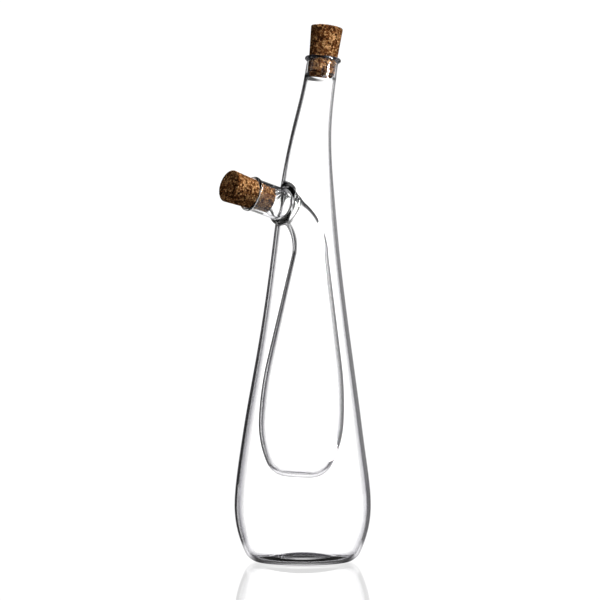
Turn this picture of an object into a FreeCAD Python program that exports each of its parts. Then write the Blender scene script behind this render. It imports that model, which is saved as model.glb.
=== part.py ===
import FreeCAD, Part
import math
import os
import Sketcher
from FreeCAD import Placement, Rotation, Vector

# Oil and vinegar cruet: a tall blown glass bottle with a second bottle inside it.
# The inner bottle's tube bends over and leaves through the outer wall as a side
# spout, and a weld bead all round joins the two. Each mouth has a tapered cork.
# The glass is one fused piece, drawn as the three parts that are melted together:
# the outer bottle, the inner bottle, and the bent tube with the spout and the weld.
# Frame: Z is up, the origin is the middle of the foot, and Y = 0 is the mirror
# plane. The spout points to -X and the neck leans to +X. Sizes in mm and degrees.

SIZES = {
    # Outer bottle: standing ring, the hollow under its floor, belly and mouth
    "bottle_height": 281.2,  # from the table to the end of the neck, under the bead of its rim
    "outer_belly_height": 31.6,
    "outer_belly_radius": 38.4,
    "outer_foot_inset": 14.2,  # how far the flat foot stands in from the belly
    "outer_corner_radius": 9.0,
    "standing_ring": 5.5,  # width of the flat ring round the hollow
    "punt_depth": 2.2,
    "floor_thickness": 3.0,
    # Glass thicknesses
    "outer_wall": 1.6,
    "neck_wall": 1.1,
    "inner_wall": 1.4,
    "spout_wall": 1.3,
    "neck_lip": 0.83,  # glass left outside the cork at the end of the neck
    "spout_lip": 0.89,  # the same at the end of the spout
    # Inner bottle and its bent tube, which is narrowest just before the outer wall
    "inner_belly_height": 32.0,  # above the inner bottle's own bottom
    "inner_belly_radius": 23.85,
    "inner_foot_inset": 17.35,
    "inner_corner_radius": 13.0,
    "shoulder_height": 16.8,  # above the belly, where the flank's line would meet the belly's side
    "inner_depth": 146.8,  # from the corner of the bent axis to the inner bottle's bottom
    "inner_tilt": 3.9,  # lean of the inner bottle's axis
    "corner_offset": 6.8,  # corner of the bent axis, from the foot's axis
    "spout_rise": 15.0,  # slope of the spout
    "spout_length": 22.45,  # from the outer wall to the end of the spout, under its bead
    "bend_radius": 27.5,
    "stem_radius": 10.4,
    "throat_radius": 7.8,
    # Weld bead between the spout and the outer wall
    "weld_height": 2.2,
    "weld_width": 7.6,
    "weld_offset": 0.1,  # middle of the bead, out from the wall
    # Rounded rims of the two mouths
    "neck_bead_radius": 1.25,
    "spout_bead_radius": 0.95,
    # Corks, and the free space round them in their seats
    "cork_length": 27.0,
    "cork_head_radius": 9.05,
    "cork_tip_radius": 7.4,
    "cork_edge": 0.5,
    "cork_clearance": 0.05,
    "top_cork_tilt": 9.0,
    "top_cork_depth": 9.6,
    "side_cork_depth": 12.2,
    "seat_overrun": 2.0,  # how far the space for a cork is cut past the rim
}

# Rings of the outer bottle above its belly. On the way from the belly to the mouth
# each has risen and narrowed by these shares; then come the offset to +X and the tilt.
OUTER_RINGS = {
    "hip": {"rise_share": 0.05, "narrow_share": 0.027, "offset": 0.0, "tilt": 0.0},
    "lower_side": {"rise_share": 0.122, "narrow_share": 0.108, "offset": 0.0, "tilt": 0.0},
    "middle_side": {"rise_share": 0.21, "narrow_share": 0.218, "offset": 0.4, "tilt": 0.0},
    "upper_side": {"rise_share": 0.313, "narrow_share": 0.358, "offset": 1.2, "tilt": 1.0},
    "low_waist": {"rise_share": 0.441, "narrow_share": 0.519, "offset": 1.8, "tilt": 1.0},
    "high_waist": {"rise_share": 0.561, "narrow_share": 0.648, "offset": 2.1, "tilt": 1.0},
    "spout_level": {"rise_share": 0.671, "narrow_share": 0.75, "offset": 2.7, "tilt": 2.0},
    "neck_root": {"rise_share": 0.761, "narrow_share": 0.842, "offset": 3.95, "tilt": 5.0},
    "neck_middle": {"rise_share": 0.853, "narrow_share": 0.933, "offset": 6.9, "tilt": 8.5},
    "neck_top": {"rise_share": 0.929, "narrow_share": 0.983, "offset": 10.8, "tilt": 10.0},
    "mouth": {"rise_share": 1.0, "narrow_share": 1.0, "offset": 14.2, "tilt": 6.5},
}
NECK_RINGS = ("neck_root", "neck_middle", "neck_top", "mouth")

for ring, values in OUTER_RINGS.items():
    for what, value in values.items():
        SIZES[f"{ring}_{what}"] = value

# Index numbers of the points of a sketch line or arc, and of a sketch's own axes
START_INDEX = 1
END_INDEX = 2
CENTRE_INDEX = 3
ACROSS_AXIS_INDEX = -1
UP_AXIS_INDEX = -2
ORIGIN_INDEX = (ACROSS_AXIS_INDEX, START_INDEX)

THROAT_SHARE = 0.8  # how far round the bend its tube is narrowest
BEND_STEPS = 3  # rings from the start of the bend to there
# Shares of a bead's radius: how far its middle stands past the end of the glass, and
# how much of it the cork's seat trims off inside
RIM_RAISE = 0.5
RIM_TRIM = 0.2

os.makedirs("parts", exist_ok=True)
doc = FreeCAD.newDocument("cruet")
sheet = doc.addObject("Spreadsheet::Sheet", "sheet")
for row, (alias, value) in enumerate(SIZES.items(), start=1):
    sheet.set(f"A{row}", alias)
    sheet.set(f"B{row}", str(value))
    sheet.setAlias(f"B{row}", alias)
doc.recompute()


def cell(alias):
    """The expression that reads one size from the sheet."""
    return f"sheet.{alias}"


def seat_radius(distance):
    """Radius of a cork's seat, a distance from the cork's tip."""
    taper = "(sheet.cork_head_radius - sheet.cork_tip_radius) / sheet.cork_length"
    return f"(sheet.cork_tip_radius + sheet.cork_clearance + {taper} * ({distance}))"


def end_radius(mouth, cork):
    """Outside radius of a mouth where its glass ends, under the bead of its rim."""
    inside = seat_radius(f"sheet.{cork}_depth - {1 + RIM_RAISE} * sheet.{mouth}_bead_radius")
    return f"({inside} + sheet.{mouth}_lip)"


MOUTH_RADIUS = end_radius("neck", "top_cork")
SPOUT_RADIUS = end_radius("spout", "side_cork")


def ring_height(ring):
    """Height of one of the outer bottle's rings."""
    rise = "(sheet.bottle_height - sheet.outer_belly_height)"
    return f"(sheet.outer_belly_height + sheet.{ring}_rise_share * {rise})"


def ring_radius(ring):
    """Outside radius of one of the outer bottle's rings."""
    fall = f"(sheet.outer_belly_radius - {MOUTH_RADIUS})"
    return f"(sheet.outer_belly_radius - sheet.{ring}_narrow_share * {fall})"


# Where the spout's axis meets the outer wall, and the corner of the bent axis
SPOUT_RUN = (
    f"(({ring_radius('spout_level')} - sheet.spout_level_offset + sheet.corner_offset)"
    " / cos(sheet.spout_rise))"
)
CORNER_HEIGHT = f"({ring_height('spout_level')} - {SPOUT_RUN} * sin(sheet.spout_rise))"
BEND_TURN = "(90 - sheet.spout_rise + sheet.inner_tilt)"
BEND_REACH = f"(sheet.bend_radius * tan({BEND_TURN} / 2))"
INNER_HEIGHT = f"(sheet.inner_depth - {BEND_REACH})"  # from the inner bottle's bottom to the bend
# Slope of the inner bottle's flank, and the long curve that leads into it from the belly
FLANK_ANGLE = (
    "atan((sheet.inner_belly_radius - sheet.stem_radius)"
    f" / ({INNER_HEIGHT} - sheet.inner_belly_height - sheet.shoulder_height))"
)
SHOULDER_RADIUS = f"(sheet.shoulder_height / tan({FLANK_ANGLE} / 2))"


def on_inner_axis(drop):
    """Place on the inner bottle's straight axis, a distance below the corner: X, Z and turn about Y."""
    return (
        f"sheet.corner_offset - ({drop}) * sin(sheet.inner_tilt)",
        f"{CORNER_HEIGHT} - ({drop}) * cos(sheet.inner_tilt)",
        cell("inner_tilt"),
    )


def on_bend(share):
    """Place on the bend's arc, at a share of its turn."""
    start_x, start_z, tilt = on_inner_axis(BEND_REACH)
    angle = f"({BEND_TURN} * {share} - {tilt})"
    return (
        f"{start_x} + sheet.bend_radius * (cos{angle} - cos({tilt}))",
        f"{start_z} + sheet.bend_radius * (sin{angle} + sin({tilt}))",
        f"-{angle}",
    )


def on_spout_axis(distance):
    """Place on the spout's axis, a distance out from the corner."""
    return (
        f"sheet.corner_offset - ({distance}) * cos(sheet.spout_rise)",
        f"{CORNER_HEIGHT} + ({distance}) * sin(sheet.spout_rise)",
        "sheet.spout_rise - 90",
    )


def on_cork_axis(distance):
    """Place on the top cork's axis, a distance out from the end of the neck."""
    return (
        f"sheet.mouth_offset + ({distance}) * sin(sheet.top_cork_tilt)",
        f"sheet.bottle_height + ({distance}) * cos(sheet.top_cork_tilt)",
        cell("top_cork_tilt"),
    )


SPOUT_END = f"({SPOUT_RUN} + sheet.spout_length)"


def origin_plane(body, role):
    """One of the body's own origin planes."""
    return next(part for part in body.Origin.OriginFeatures if part.Role == role)


def place(item, prop, where):
    """Bind an item's place to the sheet, turned about Y."""
    x, z, turn = where
    setattr(item, prop, Placement(Vector(0, 0, 1), Rotation(Vector(0, 1, 0), 1)))
    item.setExpression(f"{prop}.Base.x", x)
    item.setExpression(f"{prop}.Base.z", z)
    item.setExpression(f"{prop}.Rotation.Angle", turn)


def place_in_plane(sketch, where):
    """The same for a sketch drawn in the XZ plane, which turns within that plane."""
    x, z, turn = where
    sketch.AttachmentOffset = Placement(Vector(0, 1, 0), Rotation(Vector(0, 0, 1), 1))
    sketch.setExpression("AttachmentOffset.Base.x", x)
    sketch.setExpression("AttachmentOffset.Base.y", z)
    sketch.setExpression("AttachmentOffset.Rotation.Angle", f"-({turn})")


def new_sketch(body, name, role):
    sketch = body.newObject("Sketcher::SketchObject", name)
    sketch.AttachmentSupport = [(origin_plane(body, role), "")]
    sketch.MapMode = "FlatFace"
    return sketch


def join(sketch, kind, *points):
    """Add a sketch constraint without a value."""
    sketch.addConstraint(Sketcher.Constraint(kind, *points))


def size(sketch, kind, start, expression, *points):
    """Add a sketch dimension and bind it to the sheet."""
    index = sketch.addConstraint(Sketcher.Constraint(kind, *points, start))
    name = f"size_{index}"
    sketch.renameConstraint(index, name)
    sketch.setExpression(f"Constraints.{name}", expression)


def ring_sketch(body, name, radius, where):
    """A circle across the glass, which a loft passes through."""
    sketch = new_sketch(body, name, "XY_Plane")
    start = 10.0
    sketch.addGeometry(Part.Circle(Vector(0, 0, 0), Vector(0, 0, 1), start), False)
    join(sketch, "Coincident", 0, CENTRE_INDEX, *ORIGIN_INDEX)
    size(sketch, "Radius", start, radius, 0)
    place(sketch, "AttachmentOffset", where)
    return sketch


def loft(body, name, rings):
    feature = body.newObject("PartDesign::AdditiveLoft", name)
    feature.Profile = rings[0]
    feature.Sections = rings[1:]
    feature.Ruled = False
    return feature


def revolve(body, name, sketch, kind="Revolution"):
    feature = body.newObject(f"PartDesign::{kind}", name)
    feature.Profile = sketch
    feature.ReferenceAxis = (sketch, ["V_Axis"])
    feature.Angle = 360.0
    return feature


def arc_between(centre, radius, start, end):
    circle = Part.Circle(Vector(*centre, 0), Vector(0, 0, 1), radius)
    return Part.ArcOfCircle(circle, start, end)


def bowl_sketch(body, name, bottle, wall=None, floor=None):
    """Half section of a bottle's round bottom up to its belly, drawn in XZ.

    With a wall it is the inside of that bottom, and with a floor height too the
    inside rises to that height in the middle.
    """
    inset = SIZES[wall] if wall else 0.0
    inset_cell = cell(wall) if wall else "0"
    step = SIZES[f"{bottle}_foot_inset"]
    corner = SIZES[f"{bottle}_corner_radius"]
    belly = SIZES[f"{bottle}_belly_radius"]
    top = SIZES[f"{bottle}_belly_height"]
    foot = belly - step

    # Starting shape: the side arc's radius follows from touching the corner arc
    side = (step**2 + top**2 - 2 * top * corner) / (2 * (step - corner))
    meet = math.atan2(corner - top, foot - belly + side)
    if floor:
        height = SIZES["punt_depth"] + SIZES["floor_thickness"]
        drop = corner - height
        crown = (foot**2 + drop**2 - (corner - inset) ** 2) / (2 * (corner - inset - drop))
        low = math.atan2(-(crown + drop), -foot)
        floor_edge = arc_between((0, height - crown), crown, low + math.pi, math.pi / 2)
    else:
        low = -math.pi / 2
        floor_edge = Part.LineSegment(Vector(0, inset, 0), Vector(foot, inset, 0))

    sketch = new_sketch(body, name, "XZ_Plane")
    edges = (
        floor_edge,
        arc_between((foot, corner), corner - inset, low, meet),
        arc_between((belly - side, top), side - inset, meet, 0.0),
        Part.LineSegment(Vector(belly - inset, top, 0), Vector(0, top, 0)),
        Part.LineSegment(Vector(0, top, 0), Vector(0, 2 * inset, 0)),
    )
    for edge in edges:
        sketch.addGeometry(edge, False)
    middle, outside = (END_INDEX, START_INDEX) if floor else (START_INDEX, END_INDEX)
    join(sketch, "Tangent", 0, outside, 1, START_INDEX)
    join(sketch, "Tangent", 1, END_INDEX, 2, START_INDEX)
    join(sketch, "Coincident", 2, END_INDEX, 3, START_INDEX)
    join(sketch, "Coincident", 3, END_INDEX, 4, START_INDEX)
    join(sketch, "Coincident", 4, END_INDEX, 0, middle)
    join(sketch, "PointOnObject", 0, middle, UP_AXIS_INDEX)
    join(sketch, "PointOnObject", 3, END_INDEX, UP_AXIS_INDEX)
    join(sketch, "Horizontal", 3)
    join(sketch, "Horizontal", 2, CENTRE_INDEX, 2, END_INDEX)
    foot_radius = f"sheet.{bottle}_belly_radius - sheet.{bottle}_foot_inset"
    size(sketch, "DistanceX", foot, foot_radius, *ORIGIN_INDEX, 1, CENTRE_INDEX)
    size(sketch, "DistanceY", corner, cell(f"{bottle}_corner_radius"), *ORIGIN_INDEX, 1, CENTRE_INDEX)
    size(sketch, "Radius", corner - inset, f"{cell(bottle + '_corner_radius')} - {inset_cell}", 1)
    side_radius = f"{cell(bottle + '_belly_radius')} - {inset_cell}"
    size(sketch, "DistanceX", belly - inset, side_radius, *ORIGIN_INDEX, 2, END_INDEX)
    size(sketch, "DistanceY", top, cell(f"{bottle}_belly_height"), *ORIGIN_INDEX, 2, END_INDEX)
    if floor:
        join(sketch, "PointOnObject", 0, CENTRE_INDEX, UP_AXIS_INDEX)
        size(sketch, "DistanceY", height, floor, *ORIGIN_INDEX, 0, middle)
    else:
        join(sketch, "Horizontal", 0)
    return sketch


def flank_sketch(body, name, wall=None):
    """Half section of the inner bottle from its belly up to the bend, drawn in XZ.

    A long curve at the belly runs into a straight flank. With a wall it is the inside.
    """
    inset = SIZES[wall] if wall else 0.0
    inset_cell = cell(wall) if wall else "0"
    belly = SIZES["inner_belly_radius"] - inset
    low = SIZES["inner_belly_height"]
    top_radius = SIZES["stem_radius"] - inset
    turn = math.radians(90.0 - SIZES["spout_rise"] + SIZES["inner_tilt"])
    top = SIZES["inner_depth"] - SIZES["bend_radius"] * math.tan(turn / 2)

    # Starting shape: the curve turns by the flank's angle, and the flank touches it there
    reach = SIZES["shoulder_height"]
    meet = math.atan2(belly - top_radius, top - low - reach)
    curve = reach / math.tan(meet / 2) - inset
    touch = Vector(belly - curve + curve * math.cos(meet), low + curve * math.sin(meet), 0)

    sketch = new_sketch(body, name, "XZ_Plane")
    edges = (
        arc_between((belly - curve, low), curve, 0.0, meet),
        Part.LineSegment(touch, Vector(top_radius, top, 0)),
        Part.LineSegment(Vector(top_radius, top, 0), Vector(0, top, 0)),
        Part.LineSegment(Vector(0, top, 0), Vector(0, low, 0)),
        Part.LineSegment(Vector(0, low, 0), Vector(belly, low, 0)),
    )
    for edge in edges:
        sketch.addGeometry(edge, False)
    join(sketch, "Tangent", 0, END_INDEX, 1, START_INDEX)
    for index in (1, 2, 3):
        join(sketch, "Coincident", index, END_INDEX, index + 1, START_INDEX)
    join(sketch, "Coincident", 4, END_INDEX, 0, START_INDEX)
    join(sketch, "PointOnObject", 3, START_INDEX, UP_AXIS_INDEX)
    join(sketch, "PointOnObject", 4, START_INDEX, UP_AXIS_INDEX)
    join(sketch, "Horizontal", 2)
    join(sketch, "Horizontal", 4)
    join(sketch, "Horizontal", 0, CENTRE_INDEX, 0, START_INDEX)
    belly_radius = f"sheet.inner_belly_radius - {inset_cell}"
    size(sketch, "DistanceX", belly, belly_radius, *ORIGIN_INDEX, 0, START_INDEX)
    size(sketch, "DistanceY", low, "sheet.inner_belly_height", *ORIGIN_INDEX, 0, START_INDEX)
    size(sketch, "Radius", curve, f"{SHOULDER_RADIUS} - {inset_cell}", 0)
    size(sketch, "DistanceX", top_radius, f"sheet.stem_radius - {inset_cell}", *ORIGIN_INDEX, 1, END_INDEX)
    size(sketch, "DistanceY", top, INNER_HEIGHT, *ORIGIN_INDEX, 1, END_INDEX)
    return sketch


def punt(body):
    """The shallow dome pushed up under the foot, which leaves a standing ring."""
    sketch = new_sketch(body, "punt_section", "XZ_Plane")
    wide = SIZES["outer_belly_radius"] - SIZES["outer_foot_inset"] - SIZES["standing_ring"]
    deep = SIZES["punt_depth"]
    dome = (wide**2 + deep**2) / (2 * deep)
    edge = math.asin((dome - deep) / dome)
    sketch.addGeometry(arc_between((0, deep - dome), dome, edge, math.pi / 2), False)
    sketch.addGeometry(Part.LineSegment(Vector(0, deep, 0), Vector(0, 0, 0)), False)
    sketch.addGeometry(Part.LineSegment(Vector(0, 0, 0), Vector(wide, 0, 0)), False)
    join(sketch, "Coincident", 0, END_INDEX, 1, START_INDEX)
    join(sketch, "Coincident", 1, END_INDEX, 2, START_INDEX)
    join(sketch, "Coincident", 2, END_INDEX, 0, START_INDEX)
    join(sketch, "Coincident", 2, START_INDEX, *ORIGIN_INDEX)
    join(sketch, "Vertical", 1)
    join(sketch, "Horizontal", 2)
    join(sketch, "PointOnObject", 0, CENTRE_INDEX, UP_AXIS_INDEX)
    punt_radius = "sheet.outer_belly_radius - sheet.outer_foot_inset - sheet.standing_ring"
    size(sketch, "DistanceX", wide, punt_radius, *ORIGIN_INDEX, 2, END_INDEX)
    size(sketch, "DistanceY", deep, "sheet.punt_depth", *ORIGIN_INDEX, 0, END_INDEX)
    revolve(body, "punt_hollow", sketch, "Groove")


def outer_body(name, hollow=False):
    """The outer bottle up to its mouth: its outside, or the space inside it."""
    body = doc.addObject("PartDesign::Body", name)
    if hollow:
        floor = "sheet.punt_depth + sheet.floor_thickness"
        bowl = bowl_sketch(body, f"{name}_bowl", "outer", "outer_wall", floor)
    else:
        bowl = bowl_sketch(body, f"{name}_bowl", "outer")
    revolve(body, f"{name}_base", bowl)
    belly = "sheet.outer_belly_radius" + (" - sheet.outer_wall" if hollow else "")
    rings = [ring_sketch(body, f"{name}_belly", belly, ("0", cell("outer_belly_height"), "0"))]
    for ring in OUTER_RINGS:
        wall = "neck_wall" if ring in NECK_RINGS else "outer_wall"
        radius = ring_radius(ring) + (f" - sheet.{wall}" if hollow else "")
        where = cell(f"{ring}_offset"), ring_height(ring), cell(f"{ring}_tilt")
        rings.append(ring_sketch(body, f"{name}_{ring}", radius, where))
    loft(body, f"{name}_side", rings)
    if not hollow:
        punt(body)
    return body


def inner_body(name, hollow=False):
    """The inner bottle with its bent tube and spout: its outside, or the space inside it."""
    body = doc.addObject("PartDesign::Body", name)
    wall = "inner_wall" if hollow else None
    bowl = bowl_sketch(body, f"{name}_bowl", "inner", wall)
    flank = flank_sketch(body, f"{name}_flank", wall)
    for feature, sketch in (("base", bowl), ("side", flank)):
        place_in_plane(sketch, on_inner_axis("sheet.inner_depth"))
        revolve(body, f"{name}_{feature}", sketch)
    rings = []
    for step in range(BEND_STEPS + 1):
        share = step / BEND_STEPS
        radius = f"sheet.stem_radius * {1 - share} + sheet.throat_radius * {share}"
        wall = f"sheet.inner_wall * {1 - share} + sheet.spout_wall * {share}"
        width = radius + (f" - ({wall})" if hollow else "")
        rings.append(ring_sketch(body, f"{name}_bend_{step}", width, on_bend(share * THROAT_SHARE)))
    tube = SPOUT_RADIUS + (" - sheet.spout_wall" if hollow else "")
    rings.append(ring_sketch(body, f"{name}_bend_end", tube, on_bend(1)))
    loft(body, f"{name}_bend", rings)
    straight = body.newObject("PartDesign::Pad", f"{name}_spout")
    straight.Profile = rings[-1]
    straight.setExpression("Length", f"{SPOUT_END} - {BEND_REACH}")
    return body


def weld_bead():
    """The rounded collar of glass that joins the spout to the outer wall all round."""
    body = doc.addObject("PartDesign::Body", "weld_bead")
    sketch = new_sketch(body, "weld_bead_section", "XZ_Plane")
    place_in_plane(sketch, on_spout_axis(f"{SPOUT_RUN} + sheet.weld_offset"))
    # Starting shape, as wide inside as the cork's head; the sheet then sets the width
    half = SIZES["weld_width"] / 2
    root = SIZES["cork_head_radius"]
    rise = SIZES["weld_height"] + SIZES["spout_wall"] / 2
    radius = (half**2 + rise**2) / (2 * rise)
    spread = math.asin(half / radius) if rise < radius else math.pi - math.asin(half / radius)
    sketch.addGeometry(arc_between((root + rise - radius, 0), radius, -spread, spread), False)
    sketch.addGeometry(Part.LineSegment(Vector(root, half, 0), Vector(root, -half, 0)), False)
    join(sketch, "Coincident", 0, END_INDEX, 1, START_INDEX)
    join(sketch, "Coincident", 1, END_INDEX, 0, START_INDEX)
    join(sketch, "Vertical", 1)
    join(sketch, "PointOnObject", 0, CENTRE_INDEX, ACROSS_AXIS_INDEX)
    size(sketch, "DistanceY", 2 * half, "sheet.weld_width", 0, START_INDEX, 0, END_INDEX)
    inside = f"{SPOUT_RADIUS} - sheet.spout_wall / 2"
    size(sketch, "DistanceX", root, inside, *ORIGIN_INDEX, 1, START_INDEX)
    size(
        sketch,
        "Radius",
        radius,
        "((sheet.weld_width / 2) ^ 2 + (sheet.weld_height + sheet.spout_wall / 2) ^ 2)"
        " / (2 * sheet.weld_height + sheet.spout_wall)",
        0,
    )
    revolve(body, "weld_bead_ring", sketch)
    return body


MOUTHS = {
    "top_cork": {
        "axis": on_cork_axis,
        "end": "0",
        "rim_tilt": "sheet.mouth_tilt",
        "bead": "sheet.neck_bead_radius",
        "depth": "sheet.top_cork_depth",
    },
    "side_cork": {
        "axis": on_spout_axis,
        "end": SPOUT_END,
        "rim_tilt": "sheet.spout_rise - 90",
        "bead": "sheet.spout_bead_radius",
        "depth": "sheet.side_cork_depth",
    },
}


def cork_tip(cork):
    """Where a cork's small end lies on the axis of its mouth."""
    mouth = MOUTHS[cork]
    return mouth["axis"](f"{mouth['end']} + {1 + RIM_RAISE} * {mouth['bead']} - {mouth['depth']}")


def rim(cork):
    """The fire-rounded rim of a mouth, a ring that stands just clear of its cork."""
    mouth = MOUTHS[cork]
    bead = mouth["bead"]
    ring = doc.addObject("Part::Torus", f"{cork}_rim")
    ring.setExpression("Radius2", bead)
    inside = seat_radius(f"{mouth['depth']} - {bead}")
    ring.setExpression("Radius1", f"{inside} + {1 - RIM_TRIM} * {bead}")
    x, z, _ = mouth["axis"](f"{mouth['end']} + {RIM_RAISE} * {bead}")
    place(ring, "Placement", (x, z, mouth["rim_tilt"]))
    return ring


def seat(cork):
    """The tapered space that a cork fills, with its clearance, cut out past the rim."""
    cone = doc.addObject("Part::Cone", f"{cork}_seat")
    length = f"({MOUTHS[cork]['depth']} + sheet.seat_overrun)"
    cone.setExpression("Height", length)
    cone.setExpression("Radius1", seat_radius("0"))
    cone.setExpression("Radius2", seat_radius(length))
    place(cone, "Placement", cork_tip(cork))
    return cone


def bend_block():
    """Everything beyond the start of the bend, where the tube meets the inner bottle."""
    block = doc.addObject("Part::Cylinder", "bend_block")
    block.setExpression("Radius", "2 * sheet.outer_belly_radius")
    block.setExpression("Height", "sheet.bottle_height / 2")
    place(block, "Placement", on_inner_axis(BEND_REACH))
    return block


def combine(kind, name, *shapes):
    """Fuse or intersect shapes, or cut the second from the first."""
    item = doc.addObject(f"Part::{kind}", name)
    if kind == "Cut":
        item.Base, item.Tool = shapes
    else:
        item.Shapes = list(shapes)
    return item


def glass():
    """The three fused parts of the glass, by name. They meet face to face."""
    tube = inner_body("inner_form")
    bore = inner_body("inner_hollow", hollow=True)
    bead = weld_bead()
    beyond = bend_block()

    walls = combine("Cut", "outer_walls", outer_body("outer_form"), outer_body("outer_hollow", hollow=True))
    rimmed = combine("MultiFuse", "outer_glass", walls, rim("top_cork"))
    taken = combine("MultiFuse", "outer_spaces", seat("top_cork"), tube, bead)

    bottle = combine("Cut", "inner_glass", tube, bore)

    spout = combine("MultiFuse", "spout_glass", tube, bead, rim("side_cork"))
    bent = combine("MultiCommon", "spout_form", spout, beyond)
    opened = combine("MultiFuse", "spout_spaces", bore, seat("side_cork"))
    return {
        "outer_bottle": combine("Cut", "outer_bottle", rimmed, taken),
        "inner_bottle": combine("Cut", "inner_bottle", bottle, beyond),
        "side_spout": combine("Cut", "side_spout", bent, opened),
    }


def cork(name):
    """A tapered agglomerate cork, drawn in the seat with its wide end out."""
    body = doc.addObject("PartDesign::Body", name)
    sketch = new_sketch(body, f"{name}_section", "XZ_Plane")
    length = SIZES["cork_length"]
    tip = SIZES["cork_tip_radius"]
    head = SIZES["cork_head_radius"]
    corners = [Vector(0, 0, 0), Vector(tip, 0, 0), Vector(head, length, 0), Vector(0, length, 0)]
    for index, corner in enumerate(corners):
        sketch.addGeometry(Part.LineSegment(corner, corners[(index + 1) % 4]), False)
    for index in range(4):
        join(sketch, "Coincident", index, END_INDEX, (index + 1) % 4, START_INDEX)
    join(sketch, "Coincident", 0, START_INDEX, *ORIGIN_INDEX)
    join(sketch, "Horizontal", 0)
    join(sketch, "Horizontal", 2)
    join(sketch, "Vertical", 3)
    size(sketch, "DistanceX", tip, "sheet.cork_tip_radius", *ORIGIN_INDEX, 0, END_INDEX)
    size(sketch, "DistanceX", head, "sheet.cork_head_radius", *ORIGIN_INDEX, 1, END_INDEX)
    size(sketch, "DistanceY", length, "sheet.cork_length", *ORIGIN_INDEX, 1, END_INDEX)
    turned = revolve(body, f"{name}_turned", sketch)
    doc.recompute()
    edges = [
        f"Edge{index}"
        for index, edge in enumerate(turned.Shape.Edges, start=1)
        if isinstance(edge.Curve, Part.Circle)
    ]
    rounded = body.newObject("PartDesign::Fillet", f"{name}_rounded")
    rounded.Base = (turned, edges)
    rounded.setExpression("Radius", "sheet.cork_edge")
    place(body, "Placement", cork_tip(name))
    return body


def main():
    nodes = glass()
    for name in MOUTHS:
        nodes[name] = cork(name)
    for name, item in nodes.items():
        item.Label = name
    doc.recompute()
    failed = [item.Name for item in doc.Objects if {"Invalid", "Error"} & set(item.State)]
    if failed:
        raise RuntimeError(f"these objects failed: {failed}")
    for name, item in nodes.items():
        if item.Shape.isNull() or not item.Shape.isValid():
            raise RuntimeError(f"{name} has no valid shape")
    for name, item in nodes.items():
        item.Shape.exportStep(f"parts/{name}.step")


main()
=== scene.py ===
import math

import bmesh
import bpy
import numpy as np
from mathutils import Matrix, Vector, geometry, noise


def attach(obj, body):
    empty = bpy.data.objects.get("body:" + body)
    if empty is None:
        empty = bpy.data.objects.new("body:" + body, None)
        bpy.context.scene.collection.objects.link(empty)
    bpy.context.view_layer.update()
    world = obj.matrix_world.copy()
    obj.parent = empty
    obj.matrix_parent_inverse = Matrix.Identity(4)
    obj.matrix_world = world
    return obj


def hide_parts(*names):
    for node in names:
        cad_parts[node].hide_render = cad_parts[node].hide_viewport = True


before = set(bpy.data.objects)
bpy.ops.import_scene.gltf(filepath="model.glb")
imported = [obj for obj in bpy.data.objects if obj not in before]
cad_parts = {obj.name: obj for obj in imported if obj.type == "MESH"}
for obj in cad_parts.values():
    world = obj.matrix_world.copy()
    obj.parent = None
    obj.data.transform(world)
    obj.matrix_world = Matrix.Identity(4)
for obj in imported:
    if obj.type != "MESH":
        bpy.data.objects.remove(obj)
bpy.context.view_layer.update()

# Looks of the cruet: one smooth fused glass mesh, and two corks. The sizes are those of
# the part's source, in millimetres and degrees, and MM turns them into metres.
MM = 0.001

# Outer bottle
BOTTLE_HEIGHT = 281.2
BELLY_HEIGHT = 31.6
BELLY_RADIUS = 38.4
FOOT_RADIUS = BELLY_RADIUS - 14.2
CORNER_RADIUS = 9.0
PUNT_RADIUS = FOOT_RADIUS - 5.5
PUNT_DEPTH = 2.2
FLOOR_THICKNESS = 3.0
OUTER_WALL = 1.6
NECK_WALL = 1.1
MOUTH_RADIUS = 8.75
PUNT_EDGE = 1.8  # width of the small round between the punt and the standing ring
PUNT_EDGE_TURN = 1.4  # degrees before the punt's edge at which that round starts
FOOT_EDGE = 1.4  # flat left inside the foot's corner

# Rings above the belly: the shares by which each has risen and narrowed on the way to
# the mouth, then its offset to +X, its tilt and its wall
OUTER_RINGS = (
    (0.0, 0.0, 0.0, 0.0, OUTER_WALL),
    (0.05, 0.027, 0.0, 0.0, OUTER_WALL),
    (0.122, 0.108, 0.0, 0.0, OUTER_WALL),
    (0.21, 0.218, 0.4, 0.0, OUTER_WALL),
    (0.313, 0.358, 1.2, 1.0, OUTER_WALL),
    (0.441, 0.519, 1.8, 1.0, OUTER_WALL),
    (0.561, 0.648, 2.1, 1.0, OUTER_WALL),
    (0.671, 0.75, 2.7, 2.0, OUTER_WALL),
    (0.761, 0.842, 3.95, 5.0, NECK_WALL),
    (0.853, 0.933, 6.9, 8.5, NECK_WALL),
    (0.929, 0.983, 10.8, 10.0, NECK_WALL),
    (1.0, 1.0, 14.2, 6.5, NECK_WALL),
)
SPOUT_LEVEL = 7  # the ring that the spout leaves at

# Inner bottle and its bent tube
INNER_FOOT = 6.5  # radius of its flat floor
INNER_FLOOR_RADII = (0.0, 2.2, 4.4)  # rings of the mesh within that
INNER_CORNER = 13.0
INNER_BELLY_HEIGHT = 32.0
INNER_BELLY = 23.85
SHOULDER_HEIGHT = 16.8  # above the belly, where the flank's line would meet the belly's side
INNER_DEPTH = 146.8
INNER_TILT = 3.9
INNER_WALL = 1.4
CORNER_OFFSET = 6.8
SPOUT_RISE = 15.0
SPOUT_LENGTH = 22.45
SPOUT_RADIUS = 9.0
SPOUT_WALL = 1.3
BEND_RADIUS = 27.5
STEM_RADIUS = 10.4
THROAT_RADIUS = 7.8
THROAT_SHARE = 0.8
INNER_CURVE_THICKENING = 0.3  # extra glass on the inside of the bend

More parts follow.
